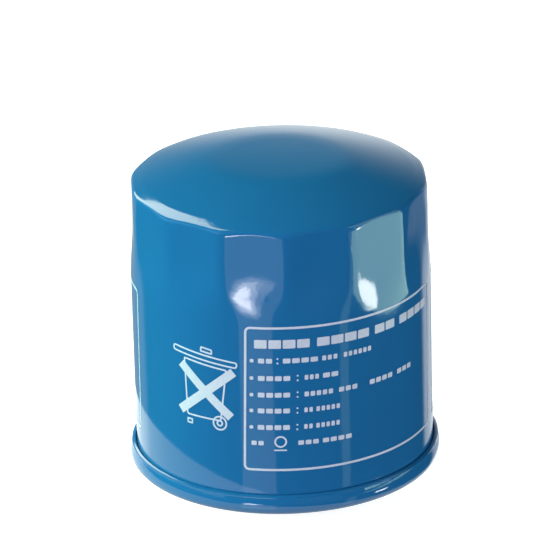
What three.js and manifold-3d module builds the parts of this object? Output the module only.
// Spin-on engine oil filter, modelled piece by piece as it would come apart on a bench.
//
// Millimetres, +Z up. The filter stands on its gasket: the origin is on the filter's axis, in the plane of
// the gasket's sealing face, and the closed dome of the can is at the top. Angles are counted from -Y
// towards +X, as LatheGeometry does once its axis is turned up to +Z.
//
// Housing:  drawn can with wrench flats, cover folded to it in a double seam, sealing compound in the seam,
//           thick tapping plate with the thread and the inlet holes, sealing gasket, anti-drain valve.
// Element:  pleated paper between two end caps, bonded with plastisol, round a perforated centre tube.
// Bypass:   a poppet, its seal and its spring, in a cage under the upper end cap.

import * as THREE from "three";
import { mergeVertices } from "three/addons/utils/BufferGeometryUtils.js";
import Module from "manifold-3d";

const wasm = await Module();
wasm.setup();

// ---------------------------------------------------------------- driving dimensions

const overallHeight = 83.5; // sealing face to the flat on the dome
const canDiameter = 76; // round part of the can
const canSheet = 0.5;

const flatCount = 14; // wrench flats round the shoulder
const acrossFlats = 74;
const flatsLength = 13; // full-depth length of a flat, below the shoulder
const flatsFade = 8; // length over which a flat runs out into the round wall

const domeFlatRadius = 15.8;
const domeEdgeSlope = 10; // degrees, where the crown leaves the flat
const shoulderSlope = 19; // degrees, where the crown meets the shoulder
const shoulderRadius = 3.4;

const coverSheet = 0.4;
const seamHeight = 5.5;
const seamHookLap = 2.8; // height of the cover hook inside the seam
const seamBend = 0.7; // outer bend radius at the top of the seam
const seamFootBend = 2; // outer bend radius at its foot
const layerGap = 0.05; // between folded or stacked sheets
const compoundThickness = 0.2;

const gasketStandout = 2.5; // gasket below the seam
const gasketWidth = 4.5;
const gasketSideGap = 0.2;
const gasketBevel = 0.4;
const countersinkDepth = 3.8; // seam down to the cover's panel
const trenchWidth = 4.65; // between the seam's wall and the gasket's outer ridge
const ridgeFold = 0.4; // gap inside the folded ridge
const ridgeDepth = 3.1; // the ridge's foot below the panel
const collarDepth = 2.7; // the inner collar's foot below the panel

const plateThickness = 3.2;
const plateSideGap = 0.3;
const threadDiameter = 20; // M20 x 1.5
const threadPitch = 1.5;
const threadChamfer = 0.8;
const hubWall = 2.5; // outside the thread's root
const hubRise = 5; // hub above the plate
const inletCount = 8;
const inletDiameter = 6.6;

const valveThickness = 1.2;
const valveBoreGap = 0.1; // round the hub
const valveSleeve = 1.5; // sleeve round the hub, which carries the element
const valveFlangeWidth = 3.2;
const valveCapLap = 2.3; // element's lower cap on the flange
const valveRise = 0.7; // valve's top above the hub
const valveLap = 1.6; // lip beyond the inlet holes

const capSheet = 0.4;
const capRim = 3;
const flowGap = 3; // flats' inside to element
const bondThickness = 1.5;
const pleatCount = 45;
const paperThickness = 0.5;
const outerFold = 1.2; // width of a pleat's outer fold, on the paper's centreline
const innerFold = 0.58;
const pleatInset = 0.7; // cap rim or tube to the paper's folds
const clipSheet = 0.35;
const clipLength = 6;
const clipGap = 0.1;

const tubeDiameter = 28;
const tubeSheet = 0.5;
const tubeHoleDiameter = 4.2;
const tubeHoleColumns = 8;
const tubeHoleRows = 5;
const tubeHoleMargin = 8; // tube's ends to the first and last row

const seatRecess = 5.6; // upper cap down to its valve seat
const seatRadius = 6.5;
const sealLap = 2; // seal beyond the seat's hole
const sealThickness = 1;
const poppetThickness = 0.8;
const poppetLap = 0.4; // poppet beyond its seal
const stemRadius = 1.8;
const stemStandout = 1.2; // stem below the cage
const stemGap = 0.5;
const cageSheet = 0.5;
const cageDepth = 11;
const cageGap = 1.2; // poppet to the cage's wall
const cageWindowWidth = 12;
const cageWindowMargin = 2;
const bypassWire = 1;
const bypassCoils = 4.5;
const bypassSpringRadius = 5.4;

const springSpace = 13.4; // upper cap to the dome
const springWire = 1.8;
const springCoils = 3;
const springFootRadius = 20;
const springHeadRadius = 13;

// ---------------------------------------------------------------- places worked out from them

const canOuter = canDiameter / 2;
const canInner = canOuter - canSheet;
const domeCurveRadius = canOuter - shoulderRadius; // centre of the shoulder's curve

// Heights, from the sealing face up.
const seamBottom = gasketStandout;
const seamTop = seamBottom + seamHeight;
const panelUnder = seamBottom + countersinkDepth;
const panelTop = panelUnder + coverSheet;
const plateUnder = panelTop + layerGap;
const plateTop = plateUnder + plateThickness;
const hubTop = plateTop + hubRise;
const valveTop = hubTop + valveRise;
const elementBase = valveTop + layerGap;
const domeUnder = overallHeight - canSheet;
const upperCapTop = domeUnder - springSpace;

// Heights inside the element, from the lower cap's underside up.
const elementHeight = upperCapTop - elementBase;
const bondBase = capSheet + layerGap;
const paperBase = bondBase + bondThickness + layerGap;
const upperCapUnder = elementHeight - capSheet;
const upperBondBase = upperCapUnder - layerGap - bondThickness;
const paperTop = upperBondBase - layerGap;
const seatUnder = elementHeight - seatRecess - capSheet;

// Radii of the seam's layers, from the can's wall out.
const compoundInner = canOuter + layerGap;
const coverHookInner = compoundInner + compoundThickness + layerGap;
const canHookInner = coverHookInner + coverSheet + layerGap;
const canHookOuter = canHookInner + canSheet;
const seamOuter = canHookOuter + layerGap + coverSheet;
const canFold = seamBottom + coverSheet + layerGap; // underside of the can's outward fold
const grooveFloor = canFold + canSheet + canHookInner - canOuter; // what the hooked sheets stand above

// Radii of the cover and the gasket, from the seam's inner wall in.
const seamInner = canInner - layerGap - coverSheet;
const ridgeOuter = seamInner - trenchWidth;
const ridgeInner = ridgeOuter - 2 * coverSheet - ridgeFold;
const gasketOuter = ridgeInner - gasketSideGap;
const gasketInner = gasketOuter - gasketWidth;
const collarOuter = gasketInner - gasketSideGap;
const collarInner = collarOuter - coverSheet;

// Radii of the tapping plate and the valve that lies on it.
const threadDepth = 0.5413 * threadPitch; // ISO metric internal thread
const threadRoot = threadDiameter / 2;
const threadCrest = threadRoot - threadDepth;
const hubOuter = threadRoot + hubWall;
const inletRing = (hubOuter + collarInner) / 2;
const valveBore = hubOuter + valveBoreGap;
const valveLip = inletRing + inletDiameter / 2 + valveLap;

// Radii of the element.
const elementOuter = Math.min(canInner, acrossFlats / 2 - canSheet) - flowGap;
const tubeOuter = tubeDiameter / 2;
const tubeInner = tubeOuter - tubeSheet;
const capRimInner = tubeInner - layerGap; // the caps' inner rims stand inside the tube
const valveFlange = Math.max(valveBore + valveFlangeWidth, capRimInner + valveCapLap);
const bondInner = tubeOuter + layerGap;
const bondOuter = elementOuter - capSheet - layerGap;
const foldInner = tubeOuter + pleatInset;
const foldOuter = bondOuter - pleatInset;
const sealRadius = seatRadius + sealLap;
const poppetRadius = sealRadius + poppetLap;
const cageInner = poppetRadius + cageGap;
const cageOuter = cageInner + cageSheet;
const cageFlange = capRimInner - capSheet - layerGap;

// Facets round the can and round what is in it: the edges of the flats and the tube's holes fall on them.
const outerFacets = 4 * flatCount;
const innerFacets = 4 * tubeHoleColumns;
const threadFacets = 16;
const inletFacets = 12;
const tubeHoleFacets = 6;
const wireFacets = 6;

// ---------------------------------------------------------------- materials

const finish = (color, roughness, metalness) =>
  new THREE.MeshStandardMaterial({ color, roughness, metalness });

const bluePaint = finish(0x1c69b4, 0.18, 0.1);
const plateSteel = finish(0x8d9090, 0.45, 0.9);
const tinplate = finish(0xb9bbb6, 0.35, 0.9);
const springSteel = finish(0x77797c, 0.35, 0.95);
const blackRubber = finish(0x18191a, 0.7, 0);
const paper = finish(0xd9b873, 0.9, 0);
const plastisol = finish(0xb4552d, 0.6, 0);
const nylon = finish(0xe4dfd0, 0.5, 0);
const compound = finish(0x5d6a66, 0.7, 0);

// ---------------------------------------------------------------- geometry helpers

const rad = THREE.MathUtils.degToRad;
const point = (r, z) => new THREE.Vector2(r, z);

// A solid of revolution about Z from [radius, height] pairs, which run anticlockwise in the (r, z) plane
// and either close on themselves or start and end on the axis.
function revolve(pairs, segments) {
  const points = pairs.map(([r, z]) => point(r, z));
  if (pairs[0][0] > 0) points.push(points[0].clone());
  return new THREE.LatheGeometry(points, segments).rotateX(Math.PI / 2);
}

// A flat ring between two radii and two heights.
const ring = (inner, outer, low, high, segments) =>
  revolve([[inner, low], [outer, low], [outer, high], [inner, high]], segments);

// Points of an arc about (r, z), from one angle to another in degrees, both ends included.
function arc(r, z, radius, from, to, steps) {
  return Array.from({ length: steps + 1 }, (_, i) => {
    const a = rad(from + ((to - from) * i) / steps);
    return [r + radius * Math.cos(a), z + radius * Math.sin(a)];
  });
}

// The closed outline of a bent strip: its centreline moved half the thickness to each side.
// Each corner is mitred, so the strip keeps its thickness along every stretch.
function stripOutline(line, thickness) {
  const side = (sign) =>
    line.map((p, i) => {
      const before = line[Math.max(i - 1, 0)];
      const after = line[Math.min(i + 1, line.length - 1)];
      const a = point(p[0] - before[0], p[1] - before[1]).normalize();
      const b = point(after[0] - p[0], after[1] - p[1]).normalize();
      if (i === 0) a.copy(b);
      if (i === line.length - 1) b.copy(a);
      const normal = point(-(a.y + b.y), a.x + b.x).normalize();
      const reach = (sign * thickness) / 2 / (normal.x * -a.y + normal.y * a.x);
      return [p[0] + normal.x * reach, p[1] + normal.y * reach];
    });
  return [...side(-1), ...side(1).reverse()];
}

// A prism standing on the XY plane, from an outline of [x, y] pairs.
function prism(outline, height) {
  const shape = new THREE.Shape(outline.map(([x, y]) => point(x, y)));
  return new THREE.ExtrudeGeometry(shape, { depth: height, bevelEnabled: false });
}

// A cylinder along Z from one height to another.
const rod = (radius, low, high, segments) =>
  new THREE.CylinderGeometry(radius, radius, high - low, segments)
    .rotateX(Math.PI / 2)
    .translate(0, 0, (low + high) / 2);

function toSolid(geometry) {
  const bare = geometry.clone();
  bare.deleteAttribute("normal");
  bare.deleteAttribute("uv");
  const merged = mergeVertices(bare);
  return new wasm.Manifold(
    new wasm.Mesh({
      numProp: 3,
      vertProperties: merged.attributes.position.array,
      triVerts: new Uint32Array(merged.index.array),
    }),
  );
}

function toGeometry(solid) {
  const mesh = solid.getMesh();
  const geometry = new THREE.BufferGeometry();
  geometry.setAttribute("position", new THREE.BufferAttribute(mesh.vertProperties, 3));
  geometry.setIndex(new THREE.BufferAttribute(mesh.triVerts, 1));
  geometry.computeVertexNormals();
  return geometry;
}

// A geometry with each of the cutters taken out of it.
const cut = (geometry, cutters) =>
  toGeometry(cutters.reduce((solid, cutter) => solid.subtract(toSolid(cutter)), toSolid(geometry)));

// A coil spring's wire: radius and height run from the foot to the head, and the end turns lie flat.
class CoilLine extends THREE.Curve {
  constructor(foot, head, low, high, coils) {
    super();
    Object.assign(this, { foot, head, low, high, coils });
  }
  getPoint(t, target = new THREE.Vector3()) {
    const a = 2 * Math.PI * this.coils * t;
    const r = THREE.MathUtils.lerp(this.foot, this.head, t);
    const dead = 0.5 / this.coils; // half a turn lies flat at each end
    const rise = THREE.MathUtils.clamp((t - dead) / (1 - 2 * dead), 0, 1);
    const z = THREE.MathUtils.lerp(this.low, this.high, rise);
    return target.set(r * Math.sin(a), -r * Math.cos(a), z);
  }
}

// A coil spring that stands between two faces.
function coilSpring({ foot, head, base, top, wire, coils, turnSteps }) {
  const line = new CoilLine(foot, head, base + wire / 2, top - wire / 2, coils);
  const section = new THREE.Shape(
    Array.from({ length: wireFacets }, (_, i) => {
      const a = (2 * Math.PI * (i + 0.5)) / wireFacets;
      return point((wire / 2) * Math.cos(a), (wire / 2) * Math.sin(a));
    }),
  );
  return new THREE.ExtrudeGeometry(section, {
    steps: Math.round(coils * turnSteps),
    extrudePath: line,
    bevelEnabled: false,
  });
}

const piece = (name, geometry, material) => {
  const mesh = new THREE.Mesh(geometry, material);
  mesh.name = name;
  return mesh;
};

// ---------------------------------------------------------------- the can

// The dome's outside from its flat to the shoulder's foot, or its inside once inset by the sheet.
function domeProfile(inset) {
  const crownSteps = 3;
  const crownEnd = domeCurveRadius + shoulderRadius * Math.sin(rad(shoulderSlope));
  const run = (crownEnd - domeFlatRadius) / crownSteps;
  const crown = [];
  let z = overallHeight;
  for (let i = 0; i < crownSteps; i++) {
    const slope = rad(THREE.MathUtils.lerp(domeEdgeSlope, shoulderSlope, i / (crownSteps - 1)));
    const r = domeFlatRadius + i * run;
    crown.push([r - inset * Math.tan(slope / 2), z - inset]);
    z -= run * Math.tan(slope);
  }
  const curveZ = z - shoulderRadius * Math.cos(rad(shoulderSlope));
  return [...crown, ...arc(domeCurveRadius, curveZ, shoulderRadius - inset, 90 - shoulderSlope, 0, 3)];
}

const shoulderFoot = domeProfile(0).at(-1)[1];
const flatsFoot = shoulderFoot - flatsLength;

// The can's side from its mouth up to the shoulder: a wall with rings of points where the flats run out.
function wallProfile(radius, mouth) {
  const steps = 3;
  const fade = Array.from({ length: steps + 1 }, (_, i) => flatsFoot - flatsFade * (1 - i / steps));
  return [mouth, ...fade].map((z) => [radius, z]);
}

// Presses the wrench flats in: above the seam, no point stands further out than the flat in front of it.
function pressFlats(geometry, inset) {
  const p = geometry.attributes.position;
  const step = (2 * Math.PI) / flatCount;
  for (let i = 0; i < p.count; i++) {
    const [x, y, z] = [p.getX(i), p.getY(i), p.getZ(i)];
    const r = Math.hypot(x, y);
    const depth = THREE.MathUtils.smoothstep(z, flatsFoot - flatsFade, flatsFoot);
    const plane = THREE.MathUtils.lerp(canOuter, acrossFlats / 2, depth) - inset;
    const turn = Math.atan2(x, -y) / step + flatCount;
    const offCentre = (turn - Math.floor(turn + 1e-6) - 0.5) * step;
    const most = plane / Math.cos(offCentre);
    if (z > seamTop && r > most) p.setXY(i, (x * most) / r, (y * most) / r);
  }
  return geometry;
}

// The can: its outward fold and the hook that the cover is wrapped round are at its mouth.
function canisterGeometry() {
  const hookTop = seamTop - coverSheet - layerGap;
  const hookCorner = seamBend - coverSheet; // clears the inside of the seam's top bend
  const foot = seamFootBend - coverSheet - layerGap; // follows the inside of its foot
  const outside = revolve(
    [
      [0, canFold],
      ...arc(canHookOuter - foot, canFold + foot, foot, -90, 0, 3),
      [canHookOuter, hookTop - hookCorner],
      [canHookOuter - hookCorner, hookTop],
      [canHookInner, hookTop],
      [canHookInner, grooveFloor],
      ...wallProfile(canOuter, canFold + canSheet),
      ...domeProfile(0).reverse(),
      [0, overallHeight],
    ],
    outerFacets,
  );
  const mouth = canFold - canSheet; // the hollow runs out past the can's mouth
  const inside = revolve(
    [[0, mouth], ...wallProfile(canInner, mouth), ...domeProfile(canSheet).reverse(), [0, domeUnder]],
    outerFacets,
  );
  return cut(pressFlats(outside, 0), [pressFlats(inside, canSheet)]);
}

// ---------------------------------------------------------------- the base

// The cover's sheet, from the tip of its hook inside the seam to the foot of the gasket's inner collar.
function seamCoverGeometry() {
  const half = coverSheet / 2;
  const outerWall = seamOuter - half;
  const innerWall = seamInner + half;
  const panel = panelUnder + half;
  const topBend = seamBend - half;
  const footBend = seamFootBend - half;
  return revolve(
    stripOutline(
      [
        [coverHookInner + half, seamTop - coverSheet - seamHookLap],
        [coverHookInner + half, seamTop - half],
        ...arc(outerWall - topBend, seamTop - half - topBend, topBend, 90, 0, 1),
        ...arc(outerWall - footBend, seamBottom + half + footBend, footBend, 0, -90, 3),
        [innerWall, seamBottom + half],
        [innerWall, panel],
        [ridgeOuter - half, panel],
        [ridgeOuter - half, panelUnder - ridgeDepth + half],
        [ridgeInner + half, panelUnder - ridgeDepth + half],
        [ridgeInner + half, panel],
        [collarInner + half, panel],
        [collarInner + half, panelUnder - collarDepth],
      ],
      coverSheet,
    ),
    outerFacets,
  );
}

const seamCompoundGeometry = () =>
  ring(
    compoundInner,
    compoundInner + compoundThickness,
    grooveFloor + layerGap,
    seamTop - coverSheet,
    outerFacets,
  );

function gasketGeometry() {
  const top = panelUnder - layerGap;
  return revolve(
    [
      [gasketInner + gasketBevel, 0],
      [gasketOuter - gasketBevel, 0],
      [gasketOuter, gasketBevel],
      [gasketOuter, top],
      [gasketInner, top],
      [gasketInner, gasketBevel],
    ],
    outerFacets,
  );
}

// The thread's own solid, which is cut out of the hub: a helical V ridge on a core that clears the bore.
// A row of points runs along the helix, and after each turn it joins the row one pitch further up.
function threadTap(low, high) {
  const steps = threadFacets;
  const coreGap = 0.2;
  const core = threadCrest - coreGap;
  const rootHalf = threadPitch / 16; // half the flat at the thread's root
  const coreHalf = rootHalf + (threadRoot - core) * Math.tan(rad(30));
  const rows = [[core, -coreHalf], [threadRoot, -rootHalf], [threadRoot, rootHalf], [core, coreHalf]];
  const turns = Math.ceil((high - low) / threadPitch) + 2;
  const last = rows.length * turns;
  const vertices = [];
  for (let k = 0; k <= last; k++) {
    const [r, rise] = rows[k % rows.length];
    const base = low - threadPitch + Math.floor(k / rows.length) * threadPitch + rise;
    for (let j = 0; j < steps; j++) {
      const a = (2 * Math.PI * j) / steps;
      vertices.push(r * Math.sin(a), -r * Math.cos(a), base + (threadPitch * j) / steps);
    }
  }
  const at = (k, j) => (j < steps ? k * steps + j : (k + rows.length) * steps);
  const faces = [];
  for (let k = 0; k < last; k++) {
    for (let j = 0; j < steps; j++) {
      if (j === steps - 1 && k + rows.length >= last) continue;
      faces.push(at(k, j), at(k, j + 1), at(k + 1, j + 1), at(k, j), at(k + 1, j + 1), at(k + 1, j));
    }
  }
  // Each end is a fan from the axis to the rim that the last turn leaves open.
  const fan = (rim, z, flip) => {
    const centre = vertices.length / 3;
    vertices.push(0, 0, z);
    rim.forEach((a, i) => {
      const b = rim[(i + 1) % rim.length];
      faces.push(centre, flip ? b : a, flip ? a : b);
    });
  };
  const column = rows.map((_, i) => i);
  const foot = [...Array(steps).keys()].map((j) => at(0, j));
  fan([...foot, ...column.map((i) => at(rows.length - i, 0))], low - threadPitch, true);
  const head = [...Array(steps).keys()].map((j) => at(last, j));
  const seam = column.map((i) => at(last - 1 - i, steps - 1));
  fan([...head, ...seam], high + threadPitch, false);
  const geometry = new THREE.BufferGeometry();
  geometry.setAttribute("position", new THREE.Float32BufferAttribute(vertices, 3));
  geometry.setIndex(faces);
  return geometry;
}

function tappingPlateGeometry() {
  const rim = canInner - plateSideGap;
  const mouth = threadRoot + threadChamfer / 2;
  const blank = revolve(
    [
      [0, plateUnder],
      [rim, plateUnder],
      [rim, plateTop],
      [hubOuter, plateTop],
      [hubOuter, hubTop],
      [0, hubTop],
    ],
    innerFacets,
  );
  const past = 1; // how far each cutter runs past the faces it cuts
  const bore = rod(threadCrest, plateUnder - past, hubTop + past, threadFacets);
  const countersink = revolve(
    [
      [0, plateUnder - past],
      [mouth + past, plateUnder - past],
      [threadCrest, plateUnder + threadChamfer],
      [0, plateUnder + threadChamfer],
    ],
    threadFacets,
  );
  const inlets = Array.from({ length: inletCount }, (_, i) => {
    const a = (2 * Math.PI * (i + 0.5)) / inletCount;
    return rod(inletDiameter / 2, plateUnder - past, plateTop + past, inletFacets).translate(
      inletRing * Math.sin(a),
      -inletRing * Math.cos(a),
      0,
    );
  });
  return cut(blank, [bore, countersink, threadTap(plateUnder, hubTop), ...inlets]);
}

// A rubber skirt: a sleeve round the hub, and a cone from its top to a lip that closes the inlet holes.
function antiDrainValveGeometry() {
  const lipUnder = plateTop + layerGap;
  const flangeUnder = valveTop - valveThickness;
  return revolve(
    [
      [valveBore, lipUnder],
      [valveBore + valveSleeve, lipUnder],
      [valveBore + valveSleeve, flangeUnder - valveThickness],
      [valveFlange - valveThickness / 2, flangeUnder],
      [valveLip - 2 * valveThickness, lipUnder + valveThickness / 2],
      [valveLip - valveThickness, lipUnder],
      [valveLip, lipUnder],
      [valveLip, lipUnder + valveThickness / 2],
      [valveFlange, valveTop],
      [valveBore, valveTop],
    ],
    innerFacets,
  );
}

// ---------------------------------------------------------------- the element

// A steel cap with a rim at its edge: the outline of a sheet with square corners.
const lowerCapGeometry = () => {
  const half = capSheet / 2;
  return revolve(
    stripOutline(
      [
        [capRimInner - half, capRim],
        [capRimInner - half, half],
        [elementOuter - half, half],
        [elementOuter - half, capRim],
      ],
      capSheet,
    ),
    innerFacets,
  );
};

const upperCapGeometry = () => {
  const half = capSheet / 2;
  return revolve(
    stripOutline(
      [
        [elementOuter - half, elementHeight - capRim],
        [elementOuter - half, elementHeight - half],
        [capRimInner - half, elementHeight - half],
        [capRimInner - half, seatUnder + half],
        [seatRadius, seatUnder + half],
      ],
      capSheet,
    ),
    innerFacets,
  );
};

const bondGeometry = (base) =>
  ring(bondInner, bondOuter, base, base + bondThickness, innerFacets);

// The paper's centreline, seen from above. It starts and ends in two flaps side by side, which the clip
// holds together, and each pleat between them has a flat fold at its outer and its inner end.
function paperLine() {
  const pitch = (2 * Math.PI) / pleatCount;
  const at = (r, a) => [r * Math.sin(a), -r * Math.cos(a)];
  const flap = (paperThickness + clipGap) / 2;
  const flapFoot = foldOuter - clipLength;
  const seam = Math.PI; // the clip is at the back
  const line = [];
  for (let i = 0; i < pleatCount; i++) {
    const middle = seam + i * pitch;
    if (i) {
      const turn = outerFold / 2 / foldOuter;
      line.push(at(foldOuter, middle - turn), at(foldOuter, middle + turn));
    }
    const inner = middle + pitch / 2;
    const turn = innerFold / 2 / foldInner;
    line.push(at(foldInner, inner - turn), at(foldInner, inner + turn));
  }
  const flapLine = (side) => [foldOuter, flapFoot].map((r) => at(r, seam + (side * flap) / r));
  return [...flapLine(1), ...line, ...flapLine(-1).reverse()];
}

const filterPaperGeometry = () =>
  prism(stripOutline(paperLine(), paperThickness), paperTop - paperBase).translate(0, 0, paperBase);

// A folded strip of tinplate over the paper's two end flaps.
function paperClipGeometry() {
  const insideHalf = paperThickness + clipGap / 2 + clipGap;
  const half = clipSheet / 2;
  const crown = foldOuter + clipGap + half;
  const leg = crown - clipLength;
  const outline = stripOutline(
    [
      [-insideHalf - half, leg],
      [-insideHalf - half, crown],
      [insideHalf + half, crown],
      [insideHalf + half, leg],
    ],
    clipSheet,
  );
  return prism(outline, paperTop - paperBase).translate(0, 0, paperBase);
}

function centreTubeGeometry() {
  const low = capSheet + layerGap;
  const high = upperCapUnder - layerGap;
  const reach = 2 * tubeSheet;
  const radius = tubeHoleDiameter / 2;
  const holes = [];
  const rise = (high - low - 2 * tubeHoleMargin) / (tubeHoleRows - 1);
  for (let row = 0; row < tubeHoleRows; row++) {
    for (let column = 0; column < tubeHoleColumns; column++) {
      const a = (2 * Math.PI * (column + 0.5 * (row % 2))) / tubeHoleColumns;
      holes.push(
        new THREE.CylinderGeometry(radius, radius, 2 * reach, tubeHoleFacets)
          .translate(0, -tubeOuter, 0)
          .rotateZ(a)
          .translate(0, 0, low + tubeHoleMargin + row * rise),
      );
    }
  }
  return cut(ring(tubeInner, tubeOuter, low, high, innerFacets), holes);
}

// ---------------------------------------------------------------- the bypass valve, hung from its seat

const sealTop = -layerGap;
const poppetTop = sealTop - sealThickness - layerGap;
const poppetUnder = poppetTop - poppetThickness;
const cageTop = -layerGap;
const cageUnder = cageTop - cageDepth;

const bypassSealGeometry = () => rod(sealRadius, sealTop - sealThickness, sealTop, innerFacets);

const bypassPoppetGeometry = () =>
  revolve(
    [
      [0, cageUnder - stemStandout],
      [stemRadius, cageUnder - stemStandout],
      [stemRadius, poppetUnder],
      [poppetRadius, poppetUnder],
      [poppetRadius, poppetTop],
      [0, poppetTop],
    ],
    innerFacets,
  );

// A pressed cup with a flange at its mouth, a guide hole for the stem and four windows in its wall.
function bypassCageGeometry() {
  const half = cageSheet / 2;
  const cup = revolve(
    stripOutline(
      [
        [stemRadius + stemGap, cageUnder + half],
        [cageInner + half, cageUnder + half],
        [cageInner + half, cageTop - half],
        [cageFlange, cageTop - half],
      ],
      cageSheet,
    ),
    innerFacets,
  );
  const height = cageDepth - cageWindowMargin - 2 * cageSheet;
  const window = (turn) =>
    new THREE.BoxGeometry(cageWindowWidth, 4 * cageOuter, height)
      .translate(0, 0, cageUnder + cageSheet + cageWindowMargin / 2 + height / 2)
      .rotateZ(turn);
  return cut(cup, [window(0), window(Math.PI / 2)]);
}

const bypassSpringGeometry = () =>
  coilSpring({
    foot: bypassSpringRadius,
    head: bypassSpringRadius,
    base: cageUnder + cageSheet + layerGap,
    top: poppetUnder - layerGap,
    wire: bypassWire,
    coils: bypassCoils,
    turnSteps: 12,
  });

const elementSpringGeometry = () =>
  coilSpring({
    foot: springFootRadius,
    head: springHeadRadius,
    base: upperCapTop + layerGap,
    top: domeUnder - layerGap,
    wire: springWire,
    coils: springCoils,
    turnSteps: 14,
  });

// ---------------------------------------------------------------- assembly

const bypass = new THREE.Group();
bypass.position.z = seatUnder;
bypass.add(
  piece("bypass_seal", bypassSealGeometry(), blackRubber),
  piece("bypass_poppet", bypassPoppetGeometry(), nylon),
  piece("bypass_spring", bypassSpringGeometry(), springSteel),
  piece("bypass_cage", bypassCageGeometry(), tinplate),
);

const element = new THREE.Group();
element.position.z = elementBase;
element.add(
  piece("lower_end_cap", lowerCapGeometry(), tinplate),
  piece("lower_bond", bondGeometry(bondBase), plastisol),
  piece("filter_paper", filterPaperGeometry(), paper),
  piece("paper_clip", paperClipGeometry(), tinplate),
  piece("centre_tube", centreTubeGeometry(), tinplate),
  piece("upper_bond", bondGeometry(upperBondBase), plastisol),
  piece("upper_end_cap", upperCapGeometry(), tinplate),
  bypass,
);

const filter = new THREE.Group();
filter.add(
  piece("canister", canisterGeometry(), bluePaint),
  piece("seam_cover", seamCoverGeometry(), bluePaint),
  piece("seam_compound", seamCompoundGeometry(), compound),
  piece("tapping_plate", tappingPlateGeometry(), plateSteel),
  piece("sealing_gasket", gasketGeometry(), blackRubber),
  piece("anti_drain_valve", antiDrainValveGeometry(), blackRubber),
  piece("element_spring", elementSpringGeometry(), springSteel),
  element,
);

export default filter;
